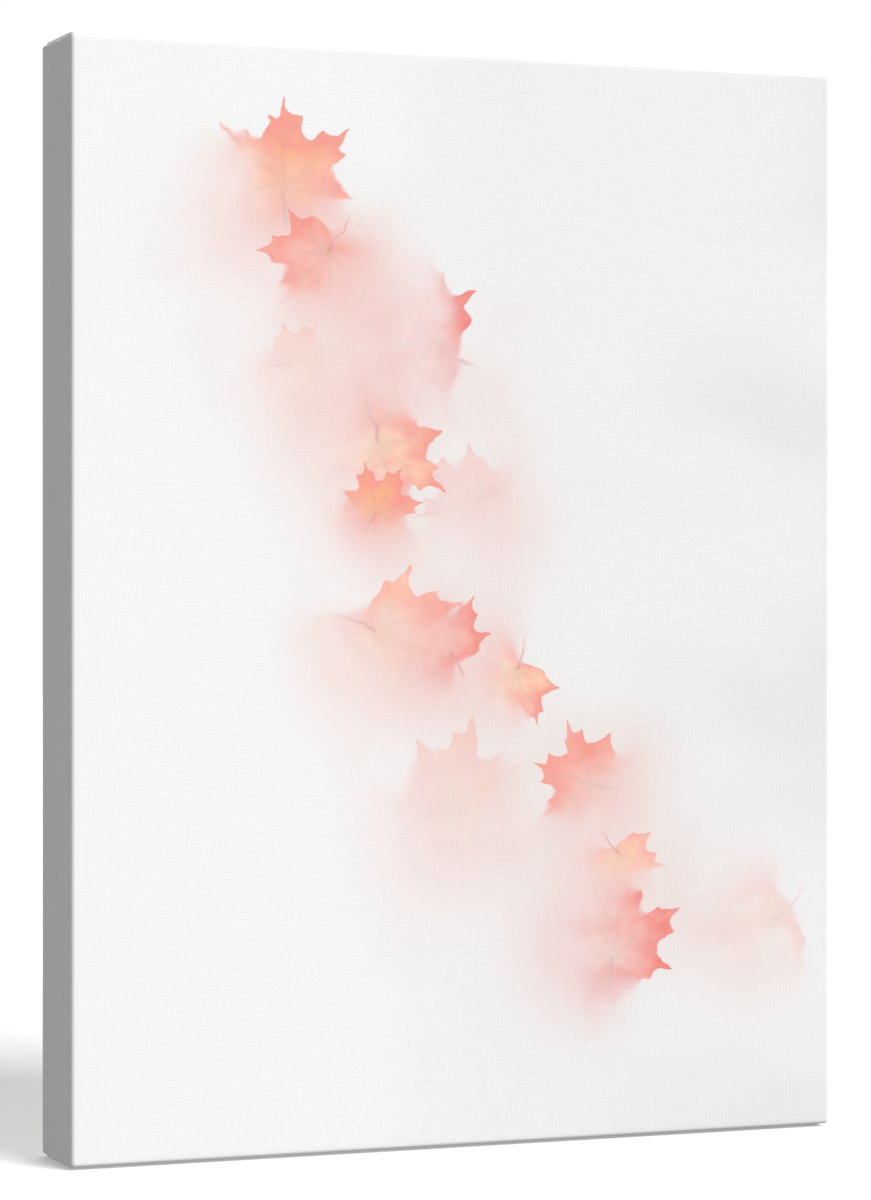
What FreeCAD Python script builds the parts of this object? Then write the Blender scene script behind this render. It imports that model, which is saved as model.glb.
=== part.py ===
import FreeCAD, Part
import math
import os

# A gallery-wrapped stretched canvas: a cloth pulled round a keyed pine stretcher frame.
# Millimetres. X runs to the right and Z up as seen from the picture side, which faces -Y.
# The origin is the middle of the bottom edge, half-way through the depth.

Vec = FreeCAD.Vector
os.makedirs("parts", exist_ok=True)

# Driving sizes: a 12 by 16 inch canvas on 1.5 inch deep gallery bars.
WIDTH = 304.8
HEIGHT = 406.4
DEPTH = 38.1

# Cloth
CLOTH = 0.5
FOLD_RADIUS = 1.5
TURN_OVER = 24.0
CORNER_FOLD = 1.0

# Stretcher bars
BAR_WIDTH = 32.0
BAR_LIP = 6.0
LIP_STEP = 2.0
BEVEL_DEPTH = 5.0
EASED_EDGE = 1.0
TONGUE_SET_BACK = 1.0
SLOT_LAYER = 5.0

# Corner keys
KEY_LENGTH = 34.0
KEY_THICK = 4.4
KEY_WIDE = 14.0
KEY_TIP = 4.0
KEY_PROUD = 9.0
KEY_GAP = 0.15
KEY_EASED_EDGE = 0.4

# Staples
STAPLE_CROWN = 11.2
STAPLE_LEG = 8.0
STAPLE_WIDE = 1.2
STAPLE_THICK = 0.7
STAPLE_BEND = 0.6
STAPLE_IN = 14.0
STAPLES_ACROSS = 6
STAPLES_UP = 7
STAPLE_END_GAP = 50.0
STAPLE_SKEW = 5.0
SKEW_STEP = 2.4
CORNER_STAPLE_IN = 14.5
CORNER_STAPLE_TURN = 45.0

# Hangers
HANGER_IN = 14.0
STRAP_WIDE = 9.0
STRAP_THICK = 1.0
STRAP_LENGTH = 25.0
STRAP_JOIN = 6.0
STRAP_END_R = 4.0
RING_WIRE_R = 1.1
RING_WIRE_GAP = 0.15
RING_HALF_WIDE = 8.0
RING_SIDE = 4.0
RING_BEND = 2.2
RING_HANG_TILT = 8.0
SCREW_DOWN = 18.0
SCREW_HOLE_R = 1.8
SCREW_SHANK_R = 1.6
SCREW_HEAD_R = 3.5
SCREW_HEAD_HIGH = 2.3
SCREW_SHOULDER_OUT = 0.72
SCREW_SHOULDER_UP = 0.9
SCREW_LENGTH = 13.0
SCREW_POINT = 3.0
SCREW_RECESS = 4.0
SCREW_RECESS_WIDE = 0.9
SCREW_RECESS_DEEP = 1.3
SCREW_TURN = 20.0

# Wall bumpers
BUMPER_R = 5.0
BUMPER_UP = 33.0
BUMPER_IN = 14.0
BUMPER_EDGE = 1.0

# How far a cutting shape runs past the wood or metal, and how near is near enough to a place
SPARE = 1.0
NEAR = 0.01

# Worked out from the sizes above
BACK = DEPTH / 2
WOOD_BACK = BACK - CLOTH
WOOD_OUT_X = WIDTH / 2 - CLOTH
WOOD_LOW = CLOTH
WOOD_HIGH = HEIGHT - CLOTH
WOOD_IN_X = WOOD_OUT_X - BAR_WIDTH
MIDDLE_Z = HEIGHT / 2
HALF_WOOD_Z = (WOOD_HIGH - WOOD_LOW) / 2
HALF_HOLLOW_Z = HALF_WOOD_Z - BAR_WIDTH
KEY_SLOPE = (KEY_WIDE - KEY_TIP) / KEY_LENGTH
RING_HOLE_R = RING_WIRE_R + RING_WIRE_GAP
LOOP_R = RING_HOLE_R + STRAP_THICK
STAPLE_STEP_UP = (HEIGHT - 2 * STAPLE_END_GAP) / (STAPLES_UP - 1)
HANGER_Z = STAPLE_END_GAP + (STAPLES_UP - 2) * STAPLE_STEP_UP
BUMPER_HIGH = 2 * LOOP_R

SIDES = {"left": -1, "right": 1}
ENDS = {"top": 1, "bottom": -1}


def plate(points, y_low, y_high):
    """A flat plate: an outline in X and Z, between two depths."""
    wire = Part.makePolygon([Vec(x, y_low, z) for x, z in points + points[:1]])
    return Part.Face(wire).extrude(Vec(0, y_high - y_low, 0))


def block(x, y, z):
    """A box from three (low, high) pairs."""
    return Part.makeBox(x[1] - x[0], y[1] - y[0], z[1] - z[0], Vec(x[0], y[0], z[0]))


def rounded_block(shrink, radius):
    """The outer shape of the canvas, made smaller all round, with every edge rounded."""
    box = block(
        (-WIDTH / 2 + shrink, WIDTH / 2 - shrink),
        (-BACK + shrink, BACK - shrink),
        (shrink, HEIGHT - shrink),
    )
    return box.makeFillet(radius, box.Edges)


def save(shape, node):
    shape.exportStep(f"parts/{node}.step")
    print(f"{node}: {len(shape.Solids)} solid, {shape.Volume:.1f} mm3, valid {shape.isValid()}")


# ---- Stretcher bars ----
# Through its depth a bar has four layers: a mitred front, the layer where the level bars' tongues
# fill the corners, the layer where the upright bars' tongues do, and a mitred back.


def slot_reach(into_bar):
    """How far a key's slot reaches along the bar, this deep into the bar from its inner edge."""
    return KEY_WIDE - KEY_SLOPE * (KEY_PROUD + into_bar) + 2 * KEY_GAP


def bar_outlines(half_out, half_in):
    """The mitred, tongued and slotted outlines of a bar, as (along, out) points.

    half_out is half the bar's outer length; half_in is half its inner length. out is 0 at the
    inner edge and BAR_WIDTH at the outer edge.
    """
    mitred = [(-half_out, BAR_WIDTH), (half_out, BAR_WIDTH), (half_in, 0), (-half_in, 0)]
    tip = half_out - TONGUE_SET_BACK
    tongued = [(-tip, BAR_WIDTH), (tip, BAR_WIDTH), (tip, 0), (-tip, 0)]
    inner = half_in - slot_reach(0)
    outer = half_in - slot_reach(BAR_WIDTH)
    slotted = [(-outer, BAR_WIDTH), (outer, BAR_WIDTH), (inner, 0), (-inner, 0)]
    return mitred, tongued, slotted


def bar(half_out, half_in, level, end, cloth_inside):
    """One stretcher bar in place. end is +1 or -1: which side of the frame it is on."""
    mitred, tongued, slotted = bar_outlines(half_out, half_in)

    def placed(outline):
        if level:
            return [(along, MIDDLE_Z + end * (HALF_HOLLOW_Z + out)) for along, out in outline]
        return [(end * (WOOD_IN_X + out), MIDDLE_Z + along) for along, out in outline]

    layers = [
        plate(placed(mitred), -WOOD_BACK, -SLOT_LAYER),
        plate(placed(tongued if level else slotted), -SLOT_LAYER, 0),
        plate(placed(slotted if level else tongued), 0, SLOT_LAYER),
        plate(placed(mitred), SLOT_LAYER, WOOD_BACK),
    ]
    wood = layers[0].multiFuse(layers[1:]).removeSplitter()
    wood = wood.cut(relief(level, end, half_out)).cut(eased_edge(level, end, half_out))
    return wood.common(cloth_inside)


def along_bar(section, level, end, half_long):
    """A section given as (out, y) points, run along the whole of a bar."""
    if level:
        points = [Vec(-half_long, y, MIDDLE_Z + end * (HALF_HOLLOW_Z + out)) for out, y in section]
        run = Vec(2 * half_long, 0, 0)
    else:
        points = [Vec(end * (WOOD_IN_X + out), y, MIDDLE_Z - half_long) for out, y in section]
        run = Vec(0, 0, 2 * half_long)
    return Part.Face(Part.makePolygon(points + points[:1])).extrude(run)


def relief(level, end, half_long):
    """The wood that is cut away behind the cloth, so that the cloth touches only the outer lip."""
    lip = BAR_WIDTH - BAR_LIP
    section = [
        (lip, -DEPTH),
        (lip, -WOOD_BACK),
        (lip - LIP_STEP, -WOOD_BACK + LIP_STEP),
        (-SPARE, -WOOD_BACK + BEVEL_DEPTH),
        (-SPARE, -DEPTH),
    ]
    return along_bar(section, level, end, half_long + SPARE)


def eased_edge(level, end, half_long):
    """The small flat planed on the inner back edge."""
    section = [
        (-SPARE, WOOD_BACK - EASED_EDGE - SPARE),
        (EASED_EDGE + SPARE, WOOD_BACK + SPARE),
        (-SPARE, WOOD_BACK + SPARE),
    ]
    return along_bar(section, level, end, half_long + SPARE)


def make_bars(cloth_inside):
    for name, end in ENDS.items():
        save(bar(WOOD_OUT_X, WOOD_IN_X, True, end, cloth_inside), f"stretcher_bar_{name}")
    for name, end in SIDES.items():
        save(bar(HALF_WOOD_Z, HALF_HOLLOW_Z, False, end, cloth_inside), f"stretcher_bar_{name}")


# ---- Cloth ----


def make_canvas(cloth_inside):
    """The cloth: the front, the four edges and the turned-over rim, thicker at its folded corners."""
    cloth = rounded_block(0, FOLD_RADIUS).cut(cloth_inside)
    window = block(
        (-WIDTH / 2 + TURN_OVER, WIDTH / 2 - TURN_OVER),
        (0, DEPTH),
        (TURN_OVER, HEIGHT - TURN_OVER),
    )
    cloth = cloth.cut(window)
    pads = []
    for side in SIDES.values():
        for end in ENDS.values():
            across = sorted((side * (WIDTH / 2 - FOLD_RADIUS), side * (WIDTH / 2 - TURN_OVER)))
            half = HEIGHT / 2
            up = sorted((half + end * (half - FOLD_RADIUS), half + end * (half - TURN_OVER)))
            pads.append(block(across, (BACK - CLOTH / 2, BACK + CORNER_FOLD), up))
    save(cloth.multiFuse(pads).removeSplitter(), "canvas")


# ---- Corner keys ----


def key_outline():
    """A key as (beside, out) points: beside is 0 along its straight edge, out is 0 at the bar."""
    tip = KEY_LENGTH - KEY_PROUD
    return [(0, -KEY_PROUD), (0, tip), (KEY_TIP, tip), (KEY_WIDE, -KEY_PROUD)]


def make_keys():
    """Two keys in each corner: an upright one in the level bar and a level one in the upright bar."""
    for end_name, end in ENDS.items():
        for side_name, side in SIDES.items():
            upright = []
            level = []
            for beside, out in key_outline():
                x = side * (WOOD_IN_X - KEY_GAP - beside)
                upright.append((x, MIDDLE_Z + end * (HALF_HOLLOW_Z + out)))
                z = MIDDLE_Z + end * (HALF_HOLLOW_Z - KEY_GAP - beside)
                level.append((side * (WOOD_IN_X + out), z))
            for kind, outline, layer in (("upright", upright, 1), ("level", level, -1)):
                middle = layer * SLOT_LAYER / 2
                key = plate(outline, middle - KEY_THICK / 2, middle + KEY_THICK / 2)
                key = key.makeChamfer(KEY_EASED_EDGE, key.Edges)
                save(key, f"key_{end_name}_{side_name}_{kind}")


# ---- Staples ----


def staple():
    """One staple at the origin: its crown lies along X on the plane y = 0, and its legs go to -Y."""
    half = STAPLE_CROWN / 2
    wire = block((-half, half), (-STAPLE_LEG, STAPLE_THICK), (-STAPLE_WIDE / 2, STAPLE_WIDE / 2))
    inner = half - STAPLE_THICK
    gap = block((-inner, inner), (-STAPLE_LEG - SPARE, 0), (-STAPLE_WIDE, STAPLE_WIDE))
    wire = wire.cut(gap)
    bends = [
        edge
        for edge in wire.Edges
        if abs(edge.Length - STAPLE_WIDE) < NEAR
        and all(abs(corner.Y - STAPLE_THICK) < NEAR for corner in edge.Vertexes)
    ]
    return wire.makeFillet(STAPLE_BEND, bends)


def placed_staple(x, z, turn, lift):
    one = staple()
    one.rotate(Vec(0, 0, 0), Vec(0, 1, 0), turn)
    one.translate(Vec(x, BACK + lift, z))
    return one


def skew(i):
    """A hand-driven staple is never quite straight: its turn in degrees."""
    return STAPLE_SKEW * math.sin(SKEW_STEP * i + 1)


def make_staples():
    step = (WIDTH - 2 * STAPLE_END_GAP) / (STAPLES_ACROSS - 1)
    for name, end in ENDS.items():
        z = MIDDLE_Z + end * (MIDDLE_Z - STAPLE_IN)
        row = [
            placed_staple(-WIDTH / 2 + STAPLE_END_GAP + i * step, z, skew(i + end), 0)
            for i in range(STAPLES_ACROSS)
        ]
        corner_z = MIDDLE_Z + end * (MIDDLE_Z - CORNER_STAPLE_IN)
        for side in SIDES.values():
            x = side * (WIDTH / 2 - CORNER_STAPLE_IN)
            row.append(placed_staple(x, corner_z, side * end * CORNER_STAPLE_TURN, CORNER_FOLD))
        save(Part.makeCompound(row), f"staples_{name}")
    for name, side in SIDES.items():
        x = side * (WIDTH / 2 - STAPLE_IN)
        heights = [STAPLE_END_GAP + i * STAPLE_STEP_UP for i in range(STAPLES_UP)]
        row = [
            placed_staple(x, z, 90 + skew(i + side), 0)
            for i, z in enumerate(heights)
            if z != HANGER_Z
        ]
        save(Part.makeCompound(row), f"staples_{name}")


# ---- Hangers ----
# A steel strap folded round the straight side of a D-ring, with one screw through both layers.
# The hinge line is HANGER_Z high and LOOP_R behind the cloth.


def hanger_x(side):
    return side * (WIDTH / 2 - HANGER_IN)


def rod(centre, radius, along, length):
    return Part.makeCylinder(radius, length, centre, along)


def strap(side):
    """The folded strap, drawn as a tapered tail below a loop, with the ring's hole through it."""
    reach = math.hypot(STRAP_JOIN, LOOP_R - 2 * STRAP_THICK)
    lean = math.asin(LOOP_R / reach) - math.atan2(LOOP_R - 2 * STRAP_THICK, STRAP_JOIN)
    touch_y = LOOP_R + LOOP_R * math.cos(lean)
    touch_z = LOOP_R * math.sin(lean)
    tail = [
        (0, 0),
        (0, -STRAP_LENGTH),
        (2 * STRAP_THICK, -STRAP_LENGTH),
        (2 * STRAP_THICK, -STRAP_JOIN),
        (touch_y, -touch_z),
        (LOOP_R, 0),
    ]
    x = hanger_x(side) - STRAP_WIDE / 2
    points = [Vec(x, BACK + y, HANGER_Z + z) for y, z in tail]
    body = Part.Face(Part.makePolygon(points + points[:1])).extrude(Vec(STRAP_WIDE, 0, 0))
    hinge = Vec(x, BACK + LOOP_R, HANGER_Z)
    body = body.fuse(rod(hinge, LOOP_R, Vec(1, 0, 0), STRAP_WIDE)).removeSplitter()
    corners = [
        edge
        for edge in body.Edges
        if all(abs(corner.Z - HANGER_Z + STRAP_LENGTH) < NEAR for corner in edge.Vertexes)
        and abs(edge.Length - 2 * STRAP_THICK) < NEAR
    ]
    body = body.makeFillet(STRAP_END_R, corners)
    bore_start = hinge - Vec(SPARE, 0, 0)
    body = body.cut(rod(bore_start, RING_HOLE_R, Vec(1, 0, 0), STRAP_WIDE + 2 * SPARE))
    hole = Vec(hanger_x(side), BACK - SPARE, HANGER_Z - SCREW_DOWN)
    return body.cut(rod(hole, SCREW_HOLE_R, Vec(0, 1, 0), 4 * STRAP_THICK))


def ring_path():
    """The ring's centreline, hanging straight down from its hinge line along X at the origin."""
    flat = RING_HALF_WIDE - RING_BEND
    bend = RING_BEND * (1 - math.sqrt(0.5))
    w = RING_HALF_WIDE
    low = -RING_SIDE - w
    return Part.Wire(
        [
            Part.makeLine(Vec(-flat, 0, 0), Vec(flat, 0, 0)),
            Part.Arc(Vec(flat, 0, 0), Vec(w - bend, 0, -bend), Vec(w, 0, -RING_BEND)).toShape(),
            Part.makeLine(Vec(w, 0, -RING_BEND), Vec(w, 0, -RING_SIDE)),
            Part.Arc(Vec(w, 0, -RING_SIDE), Vec(0, 0, low), Vec(-w, 0, -RING_SIDE)).toShape(),
            Part.makeLine(Vec(-w, 0, -RING_SIDE), Vec(-w, 0, -RING_BEND)),
            Part.Arc(Vec(-w, 0, -RING_BEND), Vec(bend - w, 0, -bend), Vec(-flat, 0, 0)).toShape(),
        ]
    )


def ring(side):
    path = ring_path()
    section = Part.Wire(Part.makeCircle(RING_WIRE_R, Vec(0, 0, 0), Vec(1, 0, 0)))
    one = path.makePipeShell([section], True, False)
    expected = path.Length * math.pi * RING_WIRE_R**2
    print(f"ring volume {one.Volume:.1f} mm3, section times length {expected:.1f} mm3")
    one.rotate(Vec(0, 0, 0), Vec(1, 0, 0), RING_HANG_TILT)
    one.translate(Vec(hanger_x(side), BACK + LOOP_R, HANGER_Z))
    return one


def screw(side):
    """A pan-head wood screw with a cross recess, its head on the strap."""
    seat = BACK + 2 * STRAP_THICK
    profile = Part.Wire(
        [
            Part.makeLine(Vec(0, -SCREW_LENGTH, 0), Vec(SCREW_SHANK_R, SCREW_POINT - SCREW_LENGTH, 0)),
            Part.makeLine(Vec(SCREW_SHANK_R, SCREW_POINT - SCREW_LENGTH, 0), Vec(SCREW_SHANK_R, 0, 0)),
            Part.makeLine(Vec(SCREW_SHANK_R, 0, 0), Vec(SCREW_HEAD_R, 0, 0)),
            Part.makeLine(Vec(SCREW_HEAD_R, 0, 0), Vec(SCREW_HEAD_R, SCREW_HEAD_HIGH / 2, 0)),
            Part.Arc(
                Vec(SCREW_HEAD_R, SCREW_HEAD_HIGH / 2, 0),
                Vec(SCREW_HEAD_R * SCREW_SHOULDER_OUT, SCREW_HEAD_HIGH * SCREW_SHOULDER_UP, 0),
                Vec(0, SCREW_HEAD_HIGH, 0),
            ).toShape(),
            Part.makeLine(Vec(0, SCREW_HEAD_HIGH, 0), Vec(0, -SCREW_LENGTH, 0)),
        ]
    )
    one = Part.Face(profile).revolve(Vec(0, 0, 0), Vec(0, 1, 0), 360)
    half = SCREW_RECESS / 2
    wide = SCREW_RECESS_WIDE / 2
    deep = (SCREW_HEAD_HIGH - SCREW_RECESS_DEEP, SCREW_HEAD_HIGH + SPARE)
    one = one.cut(block((-half, half), deep, (-wide, wide)))
    one = one.cut(block((-wide, wide), deep, (-half, half)))
    one.rotate(Vec(0, 0, 0), Vec(0, 1, 0), SCREW_TURN * side)
    one.translate(Vec(hanger_x(side), seat, HANGER_Z - SCREW_DOWN))
    return one


def make_hangers():
    for name, side in SIDES.items():
        save(strap(side), f"hanger_strap_{name}")
        save(ring(side), f"hanger_ring_{name}")
        save(screw(side), f"hanger_screw_{name}")


# ---- Wall bumpers ----


def make_bumpers():
    """Stick-on pads low on the back, as thick as the hangers, so that the canvas hangs parallel."""
    for name, side in SIDES.items():
        centre = Vec(side * (WIDTH / 2 - BUMPER_IN), BACK, BUMPER_UP)
        pad = rod(centre, BUMPER_R, Vec(0, 1, 0), BUMPER_HIGH)
        face_y = BACK + BUMPER_HIGH - NEAR
        rim = [edge for edge in pad.Edges if all(corner.Y > face_y for corner in edge.Vertexes)]
        save(pad.makeFillet(BUMPER_EDGE, rim), f"wall_bumper_{name}")


inside = rounded_block(CLOTH, FOLD_RADIUS - CLOTH)
make_bars(inside)
make_canvas(inside)
make_keys()
make_staples()
make_hangers()
make_bumpers()
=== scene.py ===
import math

import bpy
import numpy as np
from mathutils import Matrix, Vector


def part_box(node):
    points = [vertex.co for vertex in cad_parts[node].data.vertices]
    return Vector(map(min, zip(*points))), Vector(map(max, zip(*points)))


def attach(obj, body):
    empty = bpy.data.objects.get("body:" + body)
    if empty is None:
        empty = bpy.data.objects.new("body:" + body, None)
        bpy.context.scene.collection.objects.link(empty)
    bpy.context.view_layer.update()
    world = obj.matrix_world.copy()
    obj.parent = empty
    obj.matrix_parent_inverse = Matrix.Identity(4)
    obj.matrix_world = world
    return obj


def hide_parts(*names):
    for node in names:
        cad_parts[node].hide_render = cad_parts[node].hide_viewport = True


# The looks of a gallery-wrapped stretched canvas: its printed cloth, bare wood and fittings.

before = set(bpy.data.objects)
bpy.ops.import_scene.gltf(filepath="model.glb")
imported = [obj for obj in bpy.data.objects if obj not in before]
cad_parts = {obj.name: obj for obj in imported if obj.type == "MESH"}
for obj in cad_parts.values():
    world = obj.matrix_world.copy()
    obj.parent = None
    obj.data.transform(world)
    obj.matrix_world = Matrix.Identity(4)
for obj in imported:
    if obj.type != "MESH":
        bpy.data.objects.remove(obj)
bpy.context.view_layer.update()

# ---------------------------------------------------------------------------
# Sizes, in metres, taken from the frame
# ---------------------------------------------------------------------------

MM = 0.001
CANVAS_LOW, CANVAS_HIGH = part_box("canvas")
LEFT_BAR_LOW, LEFT_BAR_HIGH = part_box("stretcher_bar_left")
CLOTH = LEFT_BAR_LOW.y - CANVAS_LOW.y  # the cloth's thickness
WIDTH = CANVAS_HIGH.x - CANVAS_LOW.x
HEIGHT = CANVAS_HIGH.z - CANVAS_LOW.z
FRONT = CANVAS_LOW.y
BACK = LEFT_BAR_HIGH.y + CLOTH
DEPTH = BACK - FRONT
FOLD_RADIUS = 1.5 * MM
TURN_OVER = 24 * MM
CORNER_FOLD = CANVAS_HIGH.y - BACK
FACE_CENTRE = Vector((0, FRONT, HEIGHT / 2))

KEYS = [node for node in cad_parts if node.startswith("key_")]
STAPLES = [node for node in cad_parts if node.startswith("staples_")]


# ---------------------------------------------------------------------------
# Node helpers
# ---------------------------------------------------------------------------


def fill_in(tree, node, inputs):
    """Sets or joins a node's inputs, given as (socket, value or output socket) pairs."""
    for key, value in inputs:
        if isinstance(value, bpy.types.NodeSocket):
            tree.links.new(value, node.inputs[key])
        else:
            node.inputs[key].default_value = value
    return node


def put(tree, kind, inputs=(), **settings):
    """Adds a shader node."""
    made = tree.nodes.new("ShaderNode" + kind)
    for key, value in settings.items():
        setattr(made, key, value)
    return fill_in(tree, made, inputs)


def grouped(tree, group, inputs):
    """Adds a node group."""
    made = tree.nodes.new("ShaderNodeGroup")
    made.node_tree = group
    return fill_in(tree, made, inputs)


def calc(tree, operation, a, b=0.0, c=0.0):
    """A Math node's result."""
    return put(tree, "Math", [(0, a), (1, b), (2, c)], operation=operation).outputs[0]


def times(tree, *shares):
    """Several numbers multiplied together."""
    product = shares[0]
    for share in shares[1:]:
        product = calc(tree, "MULTIPLY", product, share)
    return product


def left_over(tree, share):
    """What is left of 1."""
    return calc(tree, "SUBTRACT", 1.0, share)


def vector_calc(tree, operation, a, b=(0, 0, 0), result=0):
    """A Vector Math node's result: output 0 is a vector, output 1 a number."""
    return put(tree, "VectorMath", [(0, a), (1, b)], operation=operation).outputs[result]


def ease(tree, value, low, high, to_low=0.0, to_high=1.0):
    """A smooth step from to_low to to_high while value goes from low to high."""
    pairs = [(0, value), (1, low), (2, high), (3, to_low), (4, to_high)]
    return put(tree, "MapRange", pairs, interpolation_type="SMOOTHSTEP", clamp=False).outputs[0]


def mix(tree, share, a, b, blend="MIX"):
    """Colour a, with a share of colour b mixed in."""
    pairs = [(0, share), (6, a), (7, b)]
    return put(tree, "Mix", pairs, data_type="RGBA", blend_type=blend).outputs[2]


def shaded(tree, colour, tone):
    """A colour made darker by a worked-out tone."""
    same = put(tree, "CombineColor", [(0, tone), (1, tone), (2, tone)]).outputs[0]
    return mix(tree, 1.0, colour, same, "MULTIPLY")


def noise(tree, where, scale, detail=2.0, rough=0.5):
    """Noise in space, from 0 to 1."""
    pairs = [("Vector", where), ("Scale", scale), ("Detail", detail), ("Roughness", rough)]
    return put(tree, "TexNoise", pairs).outputs[0]


def line_noise(tree, value, scale, detail=1.0):
    """Noise along a single number."""
    pairs = [("W", value), ("Scale", scale), ("Detail", detail)]
    return put(tree, "TexNoise", pairs, noise_dimensions="1D").outputs[0]


def flat_noise(tree, where, scale, detail=1.0, result=0):
    """Noise over the flat cloth, which costs less than noise in space."""
    pairs = [("Vector", where), ("Scale", scale), ("Detail", detail)]
    return put(tree, "TexNoise", pairs, noise_dimensions="2D").outputs[result]


def flat_waver(tree, where, scale, detail=1.0):
    """A vector that wavers about zero over the flat cloth."""
    split = put(tree, "SeparateColor", [(0, flat_noise(tree, where, scale, detail, result=1))])
    across = calc(tree, "SUBTRACT", split.outputs[0], 0.5)
    up = calc(tree, "SUBTRACT", split.outputs[1], 0.5)
    return put(tree, "CombineXYZ", [(0, across), (1, up)]).outputs[0]


def scaled(tree, vector, factor):
    """A vector made longer by a factor."""
    return put(tree, "VectorMath", [(0, vector), ("Scale", factor)], operation="SCALE").outputs[0]


def stretched(tree, where, scale):
    """A place with each axis scaled by itself, for a pattern that is longer one way."""
    return put(tree, "Mapping", [("Vector", where), ("Scale", scale)]).outputs[0]


def rgb(*screen):
    """A colour given as its three screen values, each from 11 to 255."""
    return (*(((value / 255 + 0.055) / 1.055) ** 2.4 for value in screen), 1.0)


def new_group(name, inputs, outputs):
    """An empty node group: its tree, its inputs' sockets and its output node."""
    tree = bpy.data.node_groups.new(name, "ShaderNodeTree")
    for label, kind in inputs:
        tree.interface.new_socket(label, in_out="INPUT", socket_type="NodeSocket" + kind)
    for label, kind in outputs:
        tree.interface.new_socket(label, in_out="OUTPUT", socket_type="NodeSocket" + kind)
    given = tree.nodes.new("NodeGroupInput").outputs
    return tree, given, tree.nodes.new("NodeGroupOutput")


def new_material(name):
    """A material with only an output and a Principled shader in it, joined up."""
    made = bpy.data.materials.new(name)
    made.use_nodes = True
    tree = made.node_tree
    tree.nodes.clear()
    shader = put(tree, "BsdfPrincipled")
    put(tree, "OutputMaterial", [("Surface", shader.outputs[0])])
    return made, tree, shader


def here(tree):
    """The point on the piece, in metres, which moves with the piece."""
    return put(tree, "TexCoord").outputs["Object"]


def bump(tree, shader, height, distance, strength):
    """Gives a shader a small relief, distance metres deep."""
    pairs = [("Height", height), ("Distance", distance), ("Strength", strength)]
    tree.links.new(put(tree, "Bump", pairs).outputs[0], shader.inputs["Normal"])


# ---------------------------------------------------------------------------
# The weave: warp and weft threads that pass over and under each other
# ---------------------------------------------------------------------------

THREAD_PITCH = 0.62 * MM
THREAD_WANDER = 1.2 * MM
UNDER_HEIGHT = 0.65  # a thread's middle height as it goes over and under, and how far it swings
UNDER_SWING = 0.35


def weave_group():
    """A node group: the weave's height and each thread's shade at a place on the flat cloth."""
    tree, given, out = new_group(
        "plain_weave", [("Place", "Vector")], [("Height", "Float"), ("Shade", "Float")]
    )
    wander = scaled(tree, flat_waver(tree, given["Place"], 60.0), THREAD_WANDER)
    place = vector_calc(tree, "ADD", given["Place"], wander)
    split = put(tree, "SeparateXYZ", [(0, place)])
    across = calc(tree, "DIVIDE", split.outputs[0], THREAD_PITCH)
    along = calc(tree, "DIVIDE", split.outputs[1], THREAD_PITCH)

    def threads(one, other, odd):
        """How high the threads that lie side by side along `one` stand."""
        round_top = calc(tree, "ABSOLUTE", calc(tree, "SINE", times(tree, one, math.pi)))
        number = calc(tree, "FLOOR", one)
        crossing = calc(tree, "ADD", calc(tree, "ADD", other, number), odd)
        wave = calc(tree, "SINE", times(tree, crossing, math.pi))
        over = calc(tree, "MULTIPLY_ADD", wave, UNDER_SWING, UNDER_HEIGHT)
        return times(tree, calc(tree, "POWER", round_top, 0.6), over), number

    warp, warp_number = threads(across, along, 0.0)
    weft, weft_number = threads(along, across, 1.0)
    tree.links.new(calc(tree, "MAXIMUM", warp, weft), out.inputs["Height"])

    # Each thread has its own shade, which changes slowly along it.
    shades = []
    for number, other, seed in ((warp_number, along, 3.0), (weft_number, across, 17.0)):
        pairs = [(0, times(tree, number, 0.73)), (1, times(tree, other, 0.05)), (2, seed)]
        at = put(tree, "CombineXYZ", pairs).outputs[0]
        shades.append(noise(tree, at, 1.0, 1.0))
    on_top = calc(tree, "GREATER_THAN", warp, weft)
    pairs = [(0, on_top), (2, shades[1]), (3, shades[0])]
    tree.links.new(put(tree, "Mix", pairs, data_type="FLOAT").outputs[0], out.inputs["Shade"])
    return tree


WEAVE = weave_group()


def weave(tree, place):
    """The weave's height and shade at a place on the cloth."""
    made = grouped(tree, WEAVE, [("Place", place)])
    return made.outputs["Height"], made.outputs["Shade"]


# ---------------------------------------------------------------------------
# The printed picture: maple leaves falling through mist, a generic design
# ---------------------------------------------------------------------------

PALE = rgb(244, 244, 244)
MID_PALE = rgb(239, 239, 239)
CLOUD_GREY = rgb(231, 231, 231)
HAZE = rgb(236, 214, 208)
CORAL = rgb(245, 154, 141)
RED = rgb(240, 128, 120)
SALMON = rgb(248, 180, 168)
ORANGE = rgb(252, 178, 138)
PEACH = rgb(253, 204, 176)
VEIN_TONE = rgb(150, 104, 100)
STALK_TONE = rgb(206, 128, 116)
CURL_TONE = rgb(226, 92, 90)

# Half of a maple leaf's outline, from the middle lobe's tip round to the stalk: the angle in
# degrees, how far out the edge is there, and whether it is a tooth or part of a hollow.
LEAF_EDGE = [
    (0, 1.00, "tooth"), (7, 0.80, "hollow"), (14, 0.83, "tooth"), (20, 0.64, "hollow"),
    (28, 0.60, "hollow"), (35, 0.76, "tooth"), (40, 0.78, "hollow"), (47, 1.00, "tooth"),
    (54, 0.78, "hollow"), (61, 0.80, "tooth"), (70, 0.58, "hollow"), (80, 0.60, "hollow"),
    (93, 0.80, "tooth"), (103, 0.56, "hollow"), (114, 0.54, "tooth"), (136, 0.33, "hollow"),
    (180, 0.12, "tooth"),
]
LOBE_STEP = math.radians(46.5)  # between the veins

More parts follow.
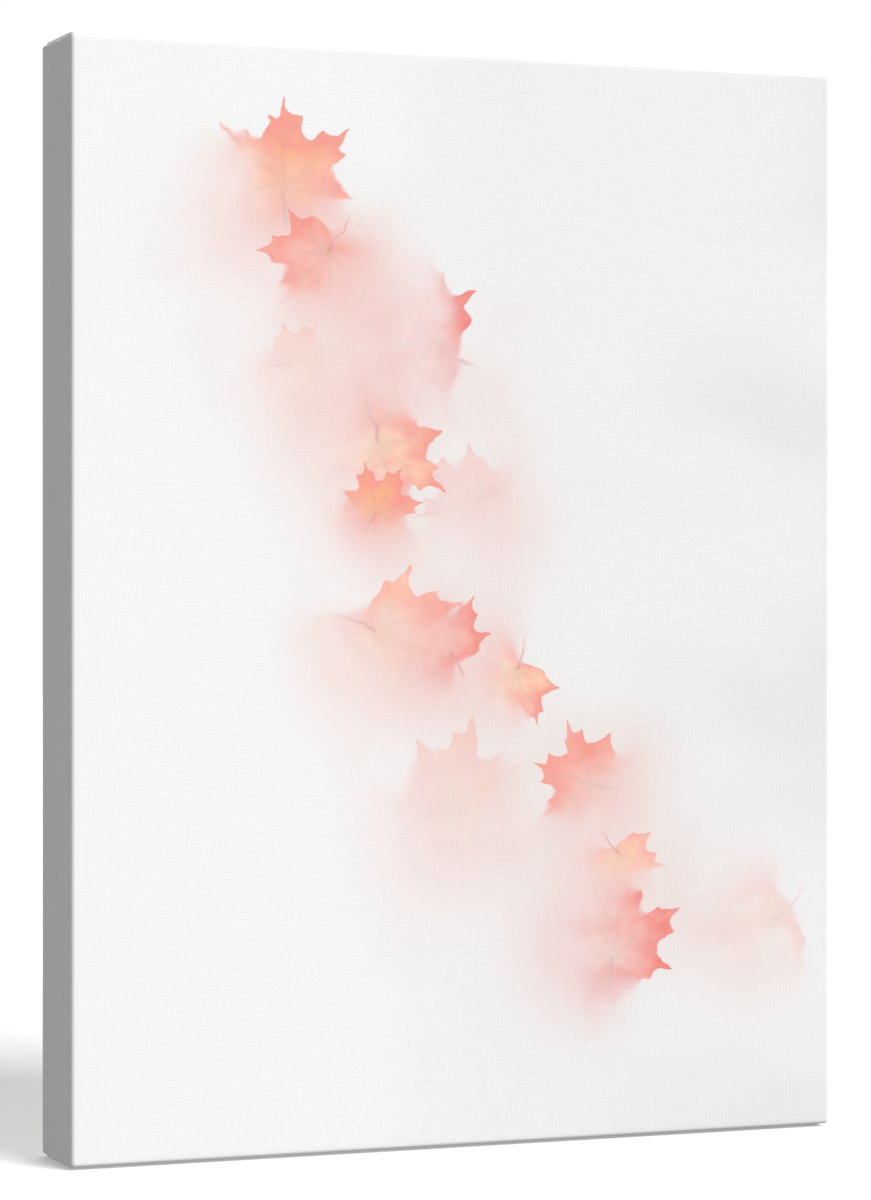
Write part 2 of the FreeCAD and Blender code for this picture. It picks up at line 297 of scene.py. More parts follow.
# In leaf sizes: the round shape that mist blurs a leaf to, how soft a sharp and a blurred edge
# are, how far the mist's drift moves it, and the stalk.
BLURRED_REACH = 0.62
SHARP_EDGE = 0.014
BLURRED_EDGE = 0.60
MIST_DRIFT = 0.7
STALK_LONG = 0.72
STALK_BEND = 0.22

LEAF_INPUTS = [
    ("Place", "Vector"), ("Waver", "Vector"), ("Drift", "Float"), ("Patch", "Float"),
    ("Middle", "Vector"), ("Turn", "Vector"), ("Size", "Vector"), ("Mist from", "Vector"),
    ("Mist start", "Float"), ("Mist end", "Float"), ("Strength", "Float"), ("Halo", "Float"),
    ("Curl", "Vector"), ("Inner", "Color"), ("Outer", "Color"),
]


def leaf_reach(tree, angle):
    """How far out a leaf's edge is at an angle from its tip, in half turns."""
    curve = put(tree, "FloatCurve", [("Value", angle)])
    line = curve.mapping.curves[0]
    line.points[0].location = (0, LEAF_EDGE[0][1])
    line.points[-1].location = (1, LEAF_EDGE[-1][1])
    for degrees, reach, _ in LEAF_EDGE[1:-1]:
        line.points.new(degrees / 180, reach)
    for point, (_, _, kind) in zip(line.points, LEAF_EDGE, strict=True):
        point.handle_type = "VECTOR" if kind == "tooth" else "AUTO"
    curve.mapping.update()
    return curve.outputs[0]


def leaf_group():
    """A node group that draws one leaf: its colour, and how much of it shows."""
    outputs = [("Color", "Color"), ("Cover", "Float")]
    tree, given, out = new_group("misty_leaf", LEAF_INPUTS, outputs)

    # The place in the leaf's own frame: its stalk's end at the origin, its tip at (0, 1).
    pairs = [(0, given["Place"]), (1, given["Middle"]), (2, given["Turn"]), (3, given["Size"])]
    place = put(tree, "Mapping", pairs, vector_type="TEXTURE").outputs[0]
    bent = vector_calc(tree, "ADD", place, given["Waver"])
    across, up = put(tree, "SeparateXYZ", [(0, bent)]).outputs[:2]
    angle = calc(tree, "ARCTAN2", calc(tree, "ABSOLUTE", across), up)
    from_stalk = vector_calc(tree, "LENGTH", bent, result=1)
    edge_reach = leaf_reach(tree, calc(tree, "DIVIDE", angle, math.pi))

    # Mist rolls over the leaf from one side: it pales there and its edge blurs and is lost.
    deep = vector_calc(tree, "DOT_PRODUCT", place, given["Mist from"], result=1)
    deep = calc(tree, "MULTIPLY_ADD", given["Drift"], MIST_DRIFT, deep)
    misty = ease(tree, deep, given["Mist start"], given["Mist end"])
    blurred = ease(tree, misty, 0.0, 0.75)
    pairs = [(0, blurred), (2, edge_reach), (3, BLURRED_REACH)]
    reach = put(tree, "Mix", pairs, data_type="FLOAT").outputs[0]
    inside = calc(tree, "SUBTRACT", reach, from_stalk)
    soft = calc(tree, "MULTIPLY_ADD", blurred, BLURRED_EDGE, SHARP_EDGE)
    blade = ease(tree, inside, calc(tree, "MULTIPLY", soft, -1.0), soft)

    # The stalk, a slightly bent line below the leaf.
    bend = times(tree, up, up, STALK_BEND)
    off_stalk = calc(tree, "ABSOLUTE", calc(tree, "SUBTRACT", across, bend))
    stalk = times(
        tree,
        ease(tree, off_stalk, 0.034, 0.008),
        ease(tree, up, 0.0, -0.06),
        ease(tree, up, -STALK_LONG, -0.5 * STALK_LONG),
        0.6,
    )
    shown = calc(tree, "MAXIMUM", blade, stalk)
    cover = times(tree, shown, left_over(tree, misty), given["Strength"])

    # The mist round it takes on its colour, most of all behind it.
    behind = vector_calc(tree, "SUBTRACT", place, scaled(tree, given["Mist from"], 0.35))
    off = vector_calc(tree, "LENGTH", behind, result=1)
    halo = calc(tree, "EXPONENT", times(tree, off, off, -1.5))
    halo = times(tree, halo, ease(tree, misty, 0.0, 0.35), given["Halo"])
    bare = times(tree, left_over(tree, cover), left_over(tree, halo))
    tree.links.new(left_over(tree, bare), out.inputs["Cover"])

    # Colour: one tone by the stalk and one by the tips, in cloudy patches, with faint veins.
    far = calc(tree, "DIVIDE", from_stalk, edge_reach)
    tone = ease(tree, calc(tree, "MULTIPLY_ADD", far, 0.6, given["Patch"]), 0.0, 0.75)
    colour = mix(tree, tone, given["Inner"], given["Outer"])
    off_vein = calc(tree, "SINE", calc(tree, "PINGPONG", angle, LOBE_STEP / 2))
    off_vein = times(tree, off_vein, from_stalk)
    vein = times(tree, ease(tree, off_vein, 0.06, 0.0), ease(tree, far, 0.85, 0.1))
    dark = calc(tree, "MAXIMUM", vein, ease(tree, from_stalk, 0.24, 0.04))
    colour = mix(tree, times(tree, dark, 0.16), colour, VEIN_TONE)
    colour = mix(tree, stalk, colour, STALK_TONE)

    # One tip may curl over and show its redder back.
    curl = vector_calc(tree, "DOT_PRODUCT", bent, given["Curl"], result=1)
    curl = times(tree, ease(tree, curl, 1.0, 1.03), ease(tree, misty, 0.5, 0.2), 0.75)
    colour = mix(tree, curl, colour, CURL_TONE)
    tree.links.new(colour, out.inputs["Color"])
    return tree


def haze_group():
    """A node group that draws one soft patch of haze: how strong it is at a place."""
    inputs = [
        ("Place", "Vector"), ("Waver", "Vector"), ("Middle", "Vector"), ("Per size", "Vector"),
        ("Strength", "Float"),
    ]
    tree, given, out = new_group("haze_patch", inputs, [("Cover", "Float")])
    place = vector_calc(tree, "SUBTRACT", given["Place"], given["Middle"])
    place = vector_calc(tree, "MULTIPLY", place, given["Per size"])
    off = vector_calc(tree, "LENGTH", vector_calc(tree, "ADD", place, given["Waver"]), result=1)
    share = calc(tree, "EXPONENT", times(tree, off, off, -2.0))
    tree.links.new(times(tree, share, given["Strength"]), out.inputs["Cover"])
    return tree


LEAF = leaf_group()
HAZE_PATCH = haze_group()

# The leaves fall in a loose drift from the upper left to the lower right of the picture. Their
# places, turns and sizes come from a few slow waves. All in millimetres from the middle.
LEAF_COUNT = 15
DRIFT_START = (-96, 142)
DRIFT_END = (92, -140)
DRIFT_SWAY = 22
DRIFT_SPREAD = 30
ACROSS_DRIFT = (0.83, 0.55)
LEAF_SIZE = 27
LEAF_SIZE_SWING = 8
GOLDEN_ANGLE = 137.5
FAR_EVERY = 4  # of each so many leaves, one is far off in the mist, and so paler
FAR_STRENGTH = 0.38
FAR_HALO = 0.24
NEAR_STRENGTH = 0.96
NEAR_HALO = 0.29
CURLED_EVERY = 3  # of each so many leaves, one has a curled tip
CURLED_TIP = 133  # how many degrees round the leaf the tip is
CURLED_FROM = 0.70  # and how far out its curl starts
LEAF_COLOURS = [
    (ORANGE, CORAL),
    (SALMON, CORAL),
    (PEACH, SALMON),
    (SALMON, RED),
    (PEACH, CORAL),
]
BLUSH_COUNT = 6
BLUSH_SIZE = 50
BLUSH_SIZE_SWING = 12
BLUSH_FLAT = 0.8
BLUSH_STRENGTH = 0.45


def toward(degrees, length=1.0):
    """The way that an angle names: 0 is up, positive turns to the left."""
    a = math.radians(degrees)
    return (-length * math.sin(a), length * math.cos(a), 0)


def on_picture(x, z):
    """A place in the picture given in millimetres."""
    return (x * MM, z * MM, 0)


def on_drift(share):
    """A point on the drift's middle line, share of the way down it."""
    x = DRIFT_START[0] + share * (DRIFT_END[0] - DRIFT_START[0])
    z = DRIFT_START[1] + share * (DRIFT_END[1] - DRIFT_START[1])
    return x + DRIFT_SWAY * math.sin(2 * math.pi * share + 0.6), z


def falling_leaves():
    """Each leaf's settings, with the far ones first, so that the near ones lie over them.

    The turn and the side that the mist comes from are in degrees. Where the mist starts and is
    full is in leaf sizes.
    """
    leaves = []
    for n in range(LEAF_COUNT):
        x, z = on_drift(n / (LEAF_COUNT - 1))
        beside = DRIFT_SPREAD * math.sin(2.3 * n + 0.5)
        far = n % FAR_EVERY == 2
        curled = n % CURLED_EVERY == 1
        leaves.append({
            "x": x + ACROSS_DRIFT[0] * beside,
            "z": z + ACROSS_DRIFT[1] * beside,
            "size": LEAF_SIZE + LEAF_SIZE_SWING * math.sin(1.9 * n + 1.2),
            "turn": GOLDEN_ANGLE * n % 360,
            "mist": 150 + 70 * math.sin(1.3 * n),
            "start": -0.60 + 0.15 * math.sin(2.9 * n),
            "end": 0.70 + 0.35 * math.sin(1.7 * n),
            "strength": FAR_STRENGTH if far else NEAR_STRENGTH,
            "halo": FAR_HALO if far else NEAR_HALO,
            "curl": toward(CURLED_TIP, 1 / CURLED_FROM) if curled else (0, 0, 0),
            "colours": LEAF_COLOURS[n % len(LEAF_COLOURS)],
        })
    return sorted(leaves, key=lambda leaf: leaf["strength"])


LEAVES = falling_leaves()

# The picture is drawn in level bands, each with only the leaves whose halo reaches it.
BAND_HIGH = 46 * MM
BAND_SPARE = 4 * MM
HALO_REACH = 2.2


def picture_bands():
    """The bands that hold leaves: the box of each, and its leaves."""
    bands = []
    for number in range(math.ceil(HEIGHT / BAND_HIGH)):
        low = number * BAND_HIGH - HEIGHT / 2
        high = low + BAND_HIGH
        leaves, left, right = [], [], []
        for leaf in LEAVES:
            x = leaf["x"] * MM
            z = leaf["z"] * MM
            reach = HALO_REACH * leaf["size"] * MM
            if low - BAND_SPARE < z + reach and z - reach < high + BAND_SPARE:
                leaves.append(leaf)
                left.append(x - reach)
                right.append(x + reach)
        if leaves:
            bands.append((low, high, min(left), max(right), leaves))
    return bands


def ground(tree, place):
    """Pale mist, with faint grey clouds towards the right."""
    cloud = flat_noise(tree, stretched(tree, place, (7.0, 11.0, 1.0)), 1.0, 2.0)
    across = put(tree, "SeparateXYZ", [(0, place)]).outputs[0]
    colour = mix(tree, ease(tree, across, -0.06, 0.02), PALE, MID_PALE)
    cloudy = times(tree, ease(tree, across, -0.02, 0.16), ease(tree, cloud, 0.35, 0.70))
    return mix(tree, cloudy, colour, CLOUD_GREY)


def with_blushes(tree, place, colour):
    """Haze down the drift, tinted by leaves deeper in the mist."""
    waver = scaled(tree, flat_waver(tree, place, 22.0), 1.6)
    for n in range(BLUSH_COUNT):
        x, z = on_drift((n + 0.5) / BLUSH_COUNT)
        wide = (BLUSH_SIZE + BLUSH_SIZE_SWING * math.sin(2.1 * n)) * MM
        inputs = [
            ("Place", place),
            ("Waver", waver),
            ("Middle", on_picture(x, z)),
            ("Per size", (1 / wide, 1 / (BLUSH_FLAT * wide), 1)),
            ("Strength", BLUSH_STRENGTH),
        ]
        share = grouped(tree, HAZE_PATCH, inputs).outputs["Cover"]
        colour = mix(tree, share, colour, HAZE)
    return colour


def with_leaves(tree, place, colour, leaves):
    waver = scaled(tree, flat_waver(tree, place, 95.0, 2.0), 0.16)
    drift = calc(tree, "SUBTRACT", flat_noise(tree, place, 48.0, 1.0), 0.5)
    patch = calc(tree, "SUBTRACT", flat_noise(tree, place, 90.0, 2.0), 0.5)
    for leaf in leaves:
        size = leaf["size"] * MM
        inner, outer = leaf["colours"]
        inputs = [
            ("Place", place),
            ("Waver", waver),
            ("Drift", drift),
            ("Patch", patch),
            ("Middle", on_picture(leaf["x"], leaf["z"])),
            ("Turn", (0, 0, math.radians(leaf["turn"]))),
            ("Size", (size, size, size)),
            ("Mist from", toward(leaf["mist"] - leaf["turn"])),
            ("Mist start", leaf["start"]),
            ("Mist end", leaf["end"]),
            ("Strength", leaf["strength"]),
            ("Halo", leaf["halo"]),
            ("Curl", leaf["curl"]),
            ("Inner", inner),
            ("Outer", outer),
        ]
        made = grouped(tree, LEAF, inputs)
        colour = mix(tree, made.outputs["Cover"], colour, made.outputs["Color"])
    return colour


def picture(tree, place, leaves):
    """The printed colour at a place on the cloth, measured from the middle of the front."""
    colour = with_blushes(tree, place, ground(tree, place))
    return with_leaves(tree, place, colour, leaves) if leaves else colour


# ---------------------------------------------------------------------------
# Materials
# ---------------------------------------------------------------------------


def printed_cloth(name, leaves=()):
    """The outer side: primed cotton with a part of the picture printed on it."""
    made, tree, shader = new_material(name)
    place = put(tree, "UVMap", uv_map="cloth").outputs[0]
    height, shade = weave(tree, place)
    colour = picture(tree, place, leaves)
    # Each thread's own tone, times a painted shade that darkens the weave where it lies low.
    lighter = calc(tree, "MULTIPLY_ADD", calc(tree, "SUBTRACT", shade, 0.5), 0.024, 1.0)
    hollow = calc(tree, "MULTIPLY_ADD", height, 0.03, 0.976)
    colour = shaded(tree, colour, times(tree, lighter, hollow))
    tree.links.new(colour, shader.inputs["Base Color"])
    rough = calc(tree, "MULTIPLY_ADD", noise(tree, place, 40.0, 2.0), 0.12, 0.66)
    tree.links.new(rough, shader.inputs["Roughness"])
    shader.inputs["Specular IOR Level"].default_value = 0.25
    bump(tree, shader, height, 0.07 * MM, 0.6)
    return made


def raw_cloth():
    """The inner side: unprimed cotton, with a few dark flecks, and a weave shown by relief and by
    painted shade in its low places.
    """
    made, tree, shader = new_material("raw_cloth")
    place = put(tree, "UVMap", uv_map="cloth").outputs[0]
    height, shade = weave(tree, place)
    colour = mix(tree, ease(tree, shade, 0.25, 0.75), rgb(214, 205, 184), rgb(240, 234, 220))
    fleck = ease(tree, noise(tree, place, 900.0, 2.0), 0.68, 0.76)
    colour = mix(tree, times(tree, fleck, 0.5), colour, rgb(158, 132, 98))
    cloudy = ease(tree, noise(tree, place, 9.0, 3.0), 0.4, 0.8)
    colour = mix(tree, times(tree, cloudy, 0.16), colour, rgb(214, 200, 172))
    # Painted shade: where the weave lies low the cloth is drawn up to 30% darker.
    colour = shaded(tree, colour, ease(tree, height, 0.15, 0.8, 0.70, 1.0))
    tree.links.new(colour, shader.inputs["Base Color"])
    shader.inputs["Roughness"].default_value = 0.9
    shader.inputs["Specular IOR Level"].default_value = 0.15
    shader.inputs["Sheen Weight"].default_value = 0.25
    bump(tree, shader, height, 0.18 * MM, 0.9)
    return made


RING_WANDER = 12 * MM


def along_grain(tree, place, axis, across, along):
    """A place scaled for a pattern that is drawn out along the grain."""
    scale = [across, across, across]
    scale[axis] = along
    return stretched(tree, place, scale)


def wood(name, grain, pith, light, dark, ring=2.3 * MM, seed=0.0):
    """Sawn wood. grain is the axis it runs along, and pith the tree's middle in the other two."""
    made, tree, shader = new_material(name)
    place = vector_calc(tree, "ADD", here(tree), (seed, seed, seed))
    split = put(tree, "SeparateXYZ", [(0, place)])
    axis = "XYZ".index(grain)
    others = [split.outputs[i] for i in range(3) if i != axis]
    bend = noise(tree, along_grain(tree, place, axis, 34.0, 3.0), 1.0, 3.0, 0.55)
    first = calc(tree, "SUBTRACT", others[0], pith[0] + seed)
    second = calc(tree, "SUBTRACT", others[1], pith[1] + seed)
    square = calc(tree, "MULTIPLY_ADD", first, first, times(tree, second, second))
    away = calc(tree, "MULTIPLY_ADD", bend, RING_WANDER, calc(tree, "SQRT", square))

    # Each year's ring has its own width and its own depth of colour.
    count = calc(tree, "DIVIDE", away, ring)
    year = calc(tree, "FRACT", calc(tree, "MULTIPLY_ADD", line_noise(tree, away, 190.0), 3.2, count))
    late = times(
        tree,
        ease(tree, year, 0.25, 0.90),
        ease(tree, year, 1.0, 0.90),
        ease(tree, line_noise(tree, away, 310.0), 0.3, 0.7, 0.35, 1.0),
    )

    fibre = noise(tree, along_grain(tree, place, axis, 2600.0, 45.0), 1.0, 3.0, 0.6)
    streak = noise(tree, along_grain(tree, place, axis, 420.0, 9.0), 1.0, 2.0)
    warm = noise(tree, along_grain(tree, place, axis, 30.0, 6.0), 1.0, 1.0)
    colour = mix(tree, times(tree, late, 0.75), light, dark)
    colour = mix(tree, times(tree, ease(tree, streak, 0.45, 0.8), 0.28), colour, dark)
    colour = mix(tree, ease(tree, warm, 0.35, 0.75, 0.0, 0.22), colour, dark)
    colour = shaded(tree, colour, calc(tree, "MULTIPLY_ADD", fibre, 0.22, 0.89))
    tree.links.new(colour, shader.inputs["Base Color"])
    tree.links.new(calc(tree, "MULTIPLY_ADD", fibre, 0.2, 0.52), shader.inputs["Roughness"])
    shader.inputs["Specular IOR Level"].default_value = 0.35
    bump(tree, shader, calc(tree, "MULTIPLY_ADD", late, 0.12, fibre), 0.06 * MM, 0.6)
    return made


def metal(name, tone, low_rough, high_rough, scale=(900.0, 900.0, 900.0)):
    """Plated steel: fine drawing marks, and small duller patches."""
    made, tree, shader = new_material(name)
    place = here(tree)
    marks = noise(tree, stretched(tree, place, scale), 1.0, 2.0, 0.6)
    patches = noise(tree, place, 260.0, 3.0)
    duller = (*(0.8 * value for value in tone), 1)
    colour = mix(tree, ease(tree, patches, 0.35, 0.75), (*tone, 1), duller)
    tree.links.new(colour, shader.inputs["Base Color"])
    shader.inputs["Metallic"].default_value = 1.0
    worn = calc(tree, "ADD", times(tree, marks, 0.5), times(tree, patches, 0.5))
    tree.links.new(ease(tree, worn, 0.3, 0.7, low_rough, high_rough), shader.inputs["Roughness"])
    bump(tree, shader, marks, 0.02 * MM, 0.5)
    return made


def rubber():
    """Dark moulded rubber with a fine grain and a little dust."""
    made, tree, shader = new_material("bumper_rubber")
    place = here(tree)
    grain = noise(tree, place, 2200.0, 3.0, 0.6)
    dust = noise(tree, place, 180.0, 3.0)
    colour = mix(tree, ease(tree, dust, 0.5, 0.8), rgb(38, 38, 39), rgb(62, 61, 59))
    tree.links.new(colour, shader.inputs["Base Color"])
    tree.links.new(calc(tree, "MULTIPLY_ADD", grain, 0.25, 0.55), shader.inputs["Roughness"])
    bump(tree, shader, grain, 0.05 * MM, 0.5)
    return made


def thread():
    """Bare cotton thread."""
    made, tree, shader = new_material("loose_thread")
    tone = noise(tree, here(tree), 700.0, 2.0)
    colour = mix(tree, tone, rgb(226, 220, 206), rgb(248, 245, 238))
    tree.links.new(colour, shader.inputs["Base Color"])
    shader.inputs["Roughness"].default_value = 0.85
    return made


FLOOR_GLOW = 0.13  # keeps the lit floor white


def floor_material():
    made, tree, shader = new_material("pale_floor")
    tone = noise(tree, here(tree), 3.0, 2.0)
    colour = mix(tree, tone, (0.92, 0.92, 0.92, 1), (0.94, 0.94, 0.94, 1))
    tree.links.new(colour, shader.inputs["Base Color"])
    shader.inputs["Roughness"].default_value = 0.9
    shader.inputs["Specular IOR Level"].default_value = 0.0
    shader.inputs["Emission Color"].default_value = (1, 1, 1, 1)
    shader.inputs["Emission Strength"].default_value = FLOOR_GLOW
    return made


def dress(node, material):
    """Gives a CAD node its material."""
    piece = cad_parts[node]
    for spot in piece.material_slots:
        spot.material = material


# ---------------------------------------------------------------------------
# The canvas: one cloth round the frame, folded at the corners
# ---------------------------------------------------------------------------

# The mesh starts as the sharp box of the canvas, cut by lines across, through and up it.
FOLD_STEPS = 4  # from an edge in to where its rounding ends
COARSE_STEP = 6 * MM  # between lines away from the edges
LINES_THROUGH = 24  # through the depth, from one edge's last line to the other's

FOLD_FOOT = 1.6 * MM  # in from the canvas's side, where a corner's fold steps up
FOLD_STEP = 0.35 * MM  # how wide that step is
FOLD_RISE_RUN = 9 * MM  # how far back from the front the fold is full
FOLD_END = 0.4 * MM  # past the cut edge, where it is gone
RIDGE = 1.6 * MM  # half the width of its slanted edge

SLACK_HIGH = 0.45 * MM  # how high the turned-over cloth lifts off the wood between staples
SCALLOP = 0.9 * MM  # how far its cut edge swings in and out
HELD_NEAR = 4 * MM  # this near a staple it lies flat
HELD_FAR = 20 * MM  # this far from one it is free
SLACK_FROM = 3 * MM  # in from the canvas's side, where the lift starts
CORNER_CLEAR = 1.6 * TURN_OVER  # in from a corner, where the lift is full
TINY = 1e-6


def smooth(value, low, high):
    """A smooth step on numpy arrays."""
    t = np.clip((value - low) / (high - low), 0, 1)
    return t * t * (3 - 2 * t)


def both_ends(half, near):
    """Mesh lines from -half to half: near holds distances in from each end."""
    near = np.array(sorted(near))
    inner = half - near[-1]
    count = max(2, int(round(2 * inner / COARSE_STEP)))
    middle = np.linspace(-inner, inner, count + 1)[1:-1]
    return np.concatenate([-half + near, middle, (half - near)[::-1]])


def cloth_lines():
    """The mesh's lines across, through and up the canvas, as sharp-box coordinates."""
    edge = [FOLD_RADIUS * i / FOLD_STEPS for i in range(FOLD_STEPS + 1)]
    foot = [FOLD_FOOT + FOLD_STEP * i / 3 for i in range(4)]
    rim_end = [TURN_OVER - 0.3 * MM, TURN_OVER, TURN_OVER + 0.5 * MM]
    across = edge + foot + list(np.arange(2.6, 42, 1.3) * MM)
    across = [d for d in across if abs(d - TURN_OVER) > 0.8 * MM] + rim_end
    up = edge + list(np.arange(3.0, 34, 2.0) * MM)
    up = [d for d in up if abs(d - TURN_OVER) > 1.0 * MM] + rim_end
    x = both_ends(WIDTH / 2, across)
    z = both_ends(HEIGHT / 2, up)
    near = edge + [2.6 * MM, 4 * MM]
    y = both_ends(DEPTH / 2, near)
    low = y[: len(near)]
    high = y[-len(near) :]
    return x, np.concatenate([low, np.linspace(low[-1], high[0], LINES_THROUGH)[1:-1], high]), z


def row_places(node, axis, gap=5 * MM):
    """The middles, along an axis, of the separate staples in a row."""
    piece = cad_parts[node]
    values = sorted((piece.matrix_world @ v.co)[axis] for v in piece.data.vertices)
    places, run = [], [values[0]]
    for value in values[1:]:
        if value - run[-1] > gap:
            places.append((run[0] + run[-1]) / 2)
            run = []
        run.append(value)
    return places + [(run[0] + run[-1]) / 2]


def press_points(side_name):
    """Where the turned-over cloth is held down, along one side of the frame."""
    if side_name in ("top", "bottom"):
        return row_places(f"staples_{side_name}", 0)
    held = [z - HEIGHT / 2 for z in row_places(f"staples_{side_name}", 2)]
    low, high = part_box(f"hanger_strap_{side_name}")
    held += list(np.linspace(low.z, high.z, 4) - HEIGHT / 2)
    low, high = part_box(f"wall_bumper_{side_name}")
    return held + [(low.z + high.z) / 2 - HEIGHT / 2]


def slack(along, held):
    """How free the cloth is between the points that hold it, from 0 to 1."""
    nearest = np.min(np.abs(along[..., None] - np.array(held)), axis=-1)
    return smooth(nearest, HELD_NEAR, HELD_FAR)


def corner_fold(s, x_in, up_in):
    """How high the folds at the corners stand, s along the cloth from the front edge.

    The fold's slanted edge goes in from the side as far as it goes back, and from there over the
    back to the inner corner of the turned-over cloth.
    """
    reach = np.where(s < DEPTH, s, DEPTH - (s - DEPTH) * (DEPTH - TURN_OVER) / TURN_OVER)
    fold = smooth(reach - x_in, -RIDGE, RIDGE)
    fold *= smooth(x_in, FOLD_FOOT, FOLD_FOOT + FOLD_STEP)
    fold *= smooth(s, 0, FOLD_RISE_RUN)
    fold *= 1 - smooth(up_in, TURN_OVER, TURN_OVER + FOLD_END)
    return fold * CORNER_FOLD


def cloth_shape(p):
    """Sharp-box points to the cloth's outer and inner points."""
    half = np.array([WIDTH, DEPTH, HEIGHT]) / 2
    inner_box = half - FOLD_RADIUS
    q = np.clip(p, -inner_box, inner_box)
    out = p - q
    out /= np.linalg.norm(out, axis=1, keepdims=True)
    x, y, z = p.T
    x_in = half[0] - np.abs(x)
    up_in = half[2] - np.abs(z)
    on_back = y > half[1] - TINY
    on_ends = up_in < TINY

    # The fold at each corner of the top and bottom edges, and where it lies on the back.
    s = np.where(on_back, DEPTH + up_in, y + half[1])
    fold = np.where(on_ends | on_back, corner_fold(s, x_in, up_in), 0)

    # Between its staples the turned-over cloth lifts a little off the wood.
    free_level = np.where(z > 0, slack(x, press_points("top")), slack(x, press_points("bottom")))
    free_upright = np.where(x > 0, slack(z, press_points("right")), slack(z, press_points("left")))
    level = free_level * smooth(up_in, SLACK_FROM, TURN_OVER) * (up_in <= TURN_OVER)
    level *= smooth(x_in, TURN_OVER, CORNER_CLEAR)
    upright = free_upright * smooth(x_in, SLACK_FROM, TURN_OVER) * (x_in <= TURN_OVER)
    upright *= smooth(up_in, TURN_OVER, CORNER_CLEAR)
    lift = np.where(on_back, np.maximum(level, upright), 0) * SLACK_HIGH

    # Its cut edge is scalloped: each staple has pulled it in.
    cut_upright = on_back & (np.abs(x_in - TURN_OVER) < TINY) & (up_in > TURN_OVER + MM)
    cut_level = on_back & (np.abs(up_in - TURN_OVER) < TINY) & (x_in > TURN_OVER + MM)
    pull_x = np.where(cut_upright, 0.5 - free_upright, 0)
    pull_z = np.where(cut_level, 0.5 - free_level, 0)
    shift = np.stack([-np.sign(x) * pull_x, 0 * x, -np.sign(z) * pull_z], axis=1) * SCALLOP

    centre = np.array([0, 0, HEIGHT / 2])
    outer = centre + shift + q + out * (FOLD_RADIUS + fold + lift)[:, None]
    inner = centre + shift + q + out * (FOLD_RADIUS - CLOTH + lift)[:, None]
    return outer, inner


# Slots of the cloth's materials: the bare inner side, the print with no leaves in it, and then
# the print of each band of leaves.
BARE = 0
PLAIN = 1
FIRST_BAND = 2
SHARP_FROM = 50  # degrees


def flat_place(side, point):
    """A sharp-box point's place on the flat cloth, measured from the middle of the picture."""
    x, y, z = point
    s = y + DEPTH / 2
    if side == "front":
        return x, z
    if side in ("left", "right"):
        return math.copysign(WIDTH / 2 + s, x), z
    if side in ("top", "bottom"):
        return x, math.copysign(HEIGHT / 2 + s, z)
    if side == "back_level":
        return x, math.copysign(HEIGHT + DEPTH - abs(z), z)
    return math.copysign(WIDTH + DEPTH - abs(x), x), z


def slot_on_front(x, z, bands):
    """Which material a face of the front has."""
    for number, (low, high, left, right, _) in enumerate(bands):
        if low <= z < high and left - BAND_SPARE < x < right + BAND_SPARE:
            return FIRST_BAND + number
    return PLAIN


def outer_faces(bands):
    """The cloth's outer side: its sharp-box points, and its faces with their flat places."""
    lines = cloth_lines()
    last = [len(line) - 1 for line in lines]
    index, points, faces, places, slots = {}, [], [], [], []

    def vertex(key):
        if key not in index:
            index[key] = len(points)
            points.append([lines[a][key[a]] for a in range(3)])
        return index[key]

    def middle(axis, n):
        return (lines[axis][n] + lines[axis][n + 1]) / 2

    def grid(side, fixed_axis, fixed, first, second, flip):
        for i in range(last[first]):
            for j in range(last[second]):
                kind = side
                if side == "back":
                    up_in = HEIGHT / 2 - abs(middle(second, j))
                    x_in = WIDTH / 2 - abs(middle(first, i))
                    if min(up_in, x_in) >= TURN_OVER:
                        continue
                    kind = "back_level" if up_in < TURN_OVER else "back_upright"
                corners = []
                for a, b in ((i, j), (i + 1, j), (i + 1, j + 1), (i, j + 1)):
                    key = [0, 0, 0]
                    key[fixed_axis], key[first], key[second] = fixed, a, b
                    corners.append(vertex(tuple(key)))
                if flip:
                    corners.reverse()
                faces.append(corners)
                places.append([flat_place(kind, points[c]) for c in corners])
                on_front = side == "front"
                slots.append(slot_on_front(middle(0, i), middle(2, j), bands) if on_front else PLAIN)

    grid("front", 1, 0, 0, 2, False)
    grid("back", 1, last[1], 0, 2, True)
    grid("left", 0, 0, 1, 2, True)
    grid("right", 0, last[0], 1, 2, False)
    grid("bottom", 2, 0, 0, 1, True)
    grid("top", 2, last[2], 0, 1, False)
    return points, faces, places, slots


def cut_edge(faces, places, count):
    """The faces, with their flat places, that join the outer side's edge to the inner side's."""
    directed = {}
    for face, place in zip(faces, places, strict=True):
        for n in range(4):
            m = (n + 1) % 4
            directed[(face[n], face[m])] = (place[n], place[m])
    edge, edge_places = [], []
    for (a, b), (place_a, place_b) in directed.items():
        if (b, a) not in directed:
            edge.append([b, a, a + count, b + count])
            edge_places.append([place_b, place_a, place_a, place_b])
    return edge, edge_places


def new_piece(name, vertices, faces, materials):
    """A mesh object with smooth faces, in the scene."""
    mesh = bpy.data.meshes.new(name)
    mesh.from_pydata(vertices, [], faces)
    for material in materials:
        mesh.materials.append(material)
    mesh.shade_smooth()
    made = bpy.data.objects.new(name, mesh)
    bpy.context.collection.objects.link(made)
    return made


